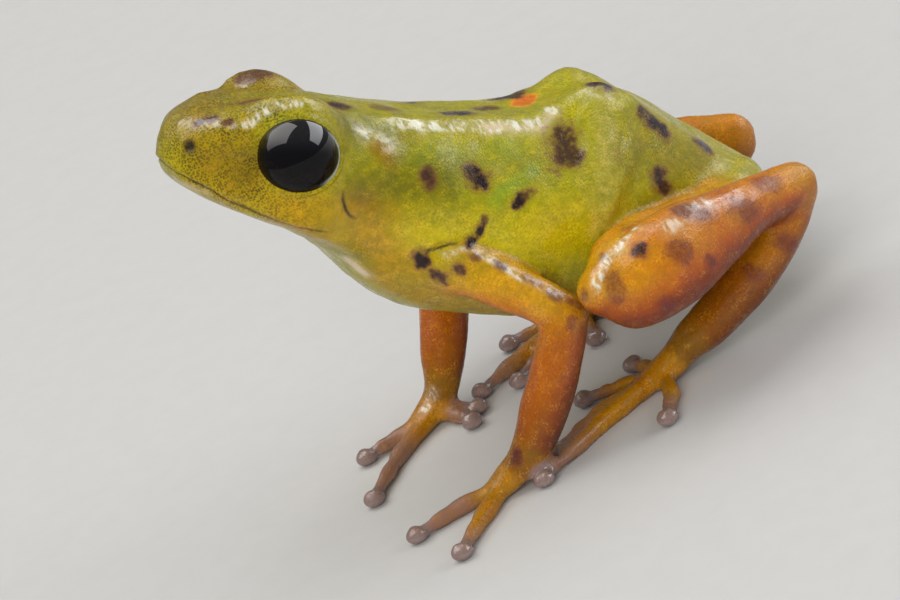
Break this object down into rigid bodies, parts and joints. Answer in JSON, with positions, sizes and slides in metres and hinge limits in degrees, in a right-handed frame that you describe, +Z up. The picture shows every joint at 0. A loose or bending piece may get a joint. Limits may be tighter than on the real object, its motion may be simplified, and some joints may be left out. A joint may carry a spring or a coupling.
{
  "type": "frog figure",
  "caption": "Life-size still figure of a strawberry poison dart frog, sitting alert with its front raised, on its hands and feet.",
  "frame": {"origin": "on the floor, under the middle of the frog's overall box", "axes": "+X towards the head, +Y towards the frog's left, +Z up"},
  "size_m": [0.0198, 0.0154, 0.0156],
  "materials": {
    "body_skin": "moist olive-yellow skin",
    "head_skin": "moist golden-olive skin",
    "joint_skin": "moist ochre skin",
    "leg_skin": "moist orange skin",
    "digit_skin": "moist greyish-ochre skin",
    "eyes": "polished black"
  },
  "bodies": {
    "root": {"torso": "body_skin", "head": "head_skin", "eye_left": "eyes", "eye_right": "eyes", "upper_arm_left": "joint_skin", "upper_arm_right": "joint_skin", "forearm_left": "leg_skin", "forearm_right": "leg_skin", "hand_left": "digit_skin", "hand_right": "digit_skin", "thigh_left": "leg_skin", "thigh_right": "leg_skin", "shank_left": "leg_skin", "shank_right": "leg_skin", "tarsus_left": "joint_skin", "tarsus_right": "joint_skin", "foot_left": "digit_skin", "foot_right": "digit_skin"}
  },
  "joints": []
}
